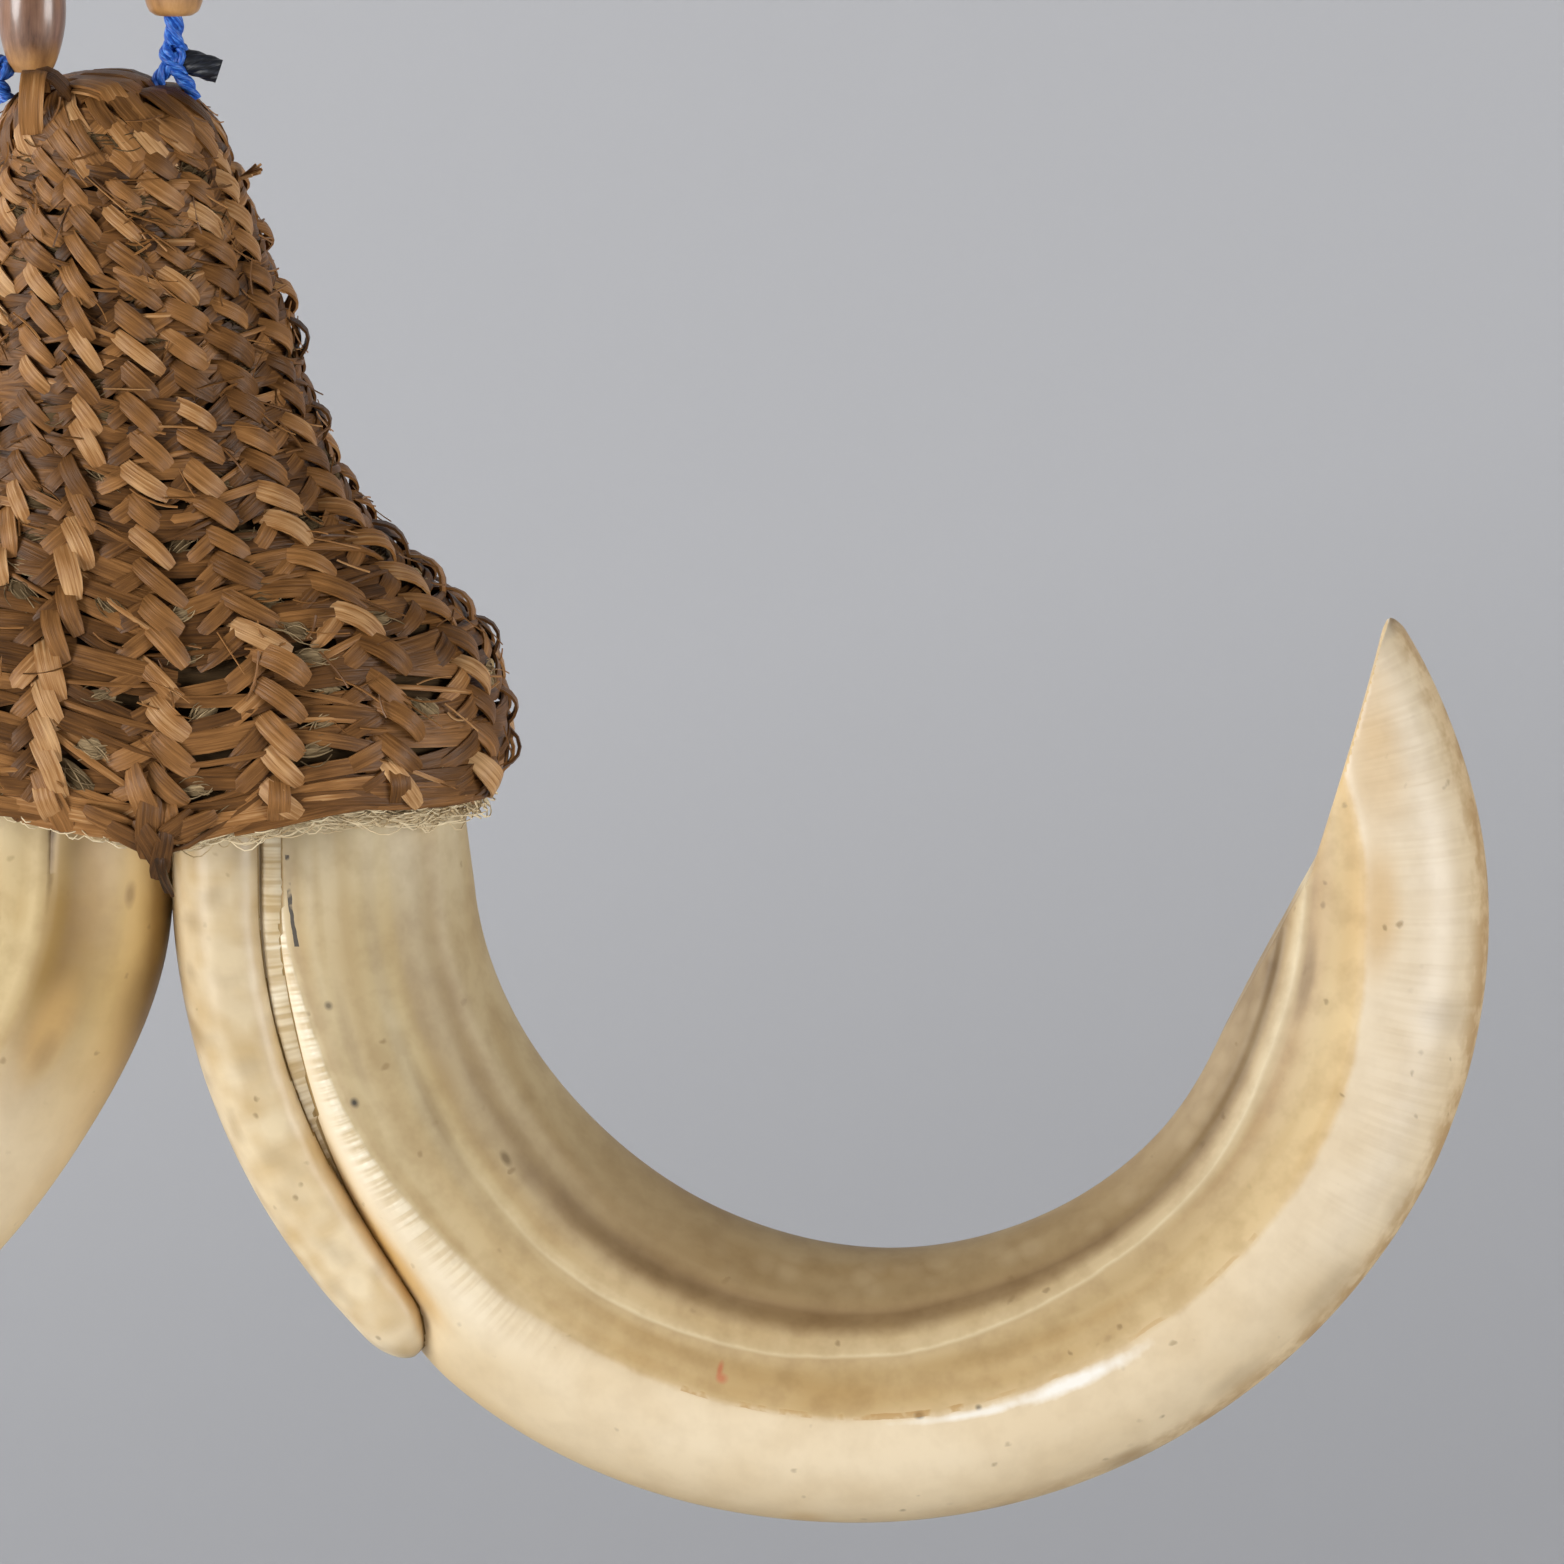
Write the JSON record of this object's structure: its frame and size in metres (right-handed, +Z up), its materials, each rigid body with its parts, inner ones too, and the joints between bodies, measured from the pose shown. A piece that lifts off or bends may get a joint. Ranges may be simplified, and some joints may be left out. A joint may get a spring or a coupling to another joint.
{
  "type": "boar tusk ornament",
  "caption": "Hanging ornament of curled boar tusks set root to root in a bell-shaped woven rattan cap, with a beaded blue cord to hang it by.",
  "frame": {"origin": "the point under the top of the cord's loop where a hook bears", "axes": "+Z up, +X to the right as seen from the front, across both tusks, and -Y towards the front"},
  "size_m": [0.2488, 0.04, 0.1655],
  "materials": {
    "rattan": "split rattan strips, fibrous grain, soft satin sheen, aged brown",
    "plant_fibre": "loose dry plant fibre, matt, beige grey",
    "tusk": "cream enamel with a soft polish on the outside of the curl, tan stained dentine with grooves on the inside",
    "blue_cord": "twisted synthetic twine, slightly shiny filaments",
    "black_cord": "twisted black twine with a cut end",
    "bead": "polished brown bead, streaked, tan towards the ends"
  },
  "bodies": {
    "root": {"woven_cap": "rattan", "fibre_lining": "plant_fibre", "left_tusk": "tusk", "right_tusk": "tusk", "hanging_cord": "blue_cord", "left_knot": "blue_cord", "right_knot": "blue_cord", "black_cord_end": "black_cord", "left_bead": "bead", "right_bead": "bead"}
  },
  "joints": []
}
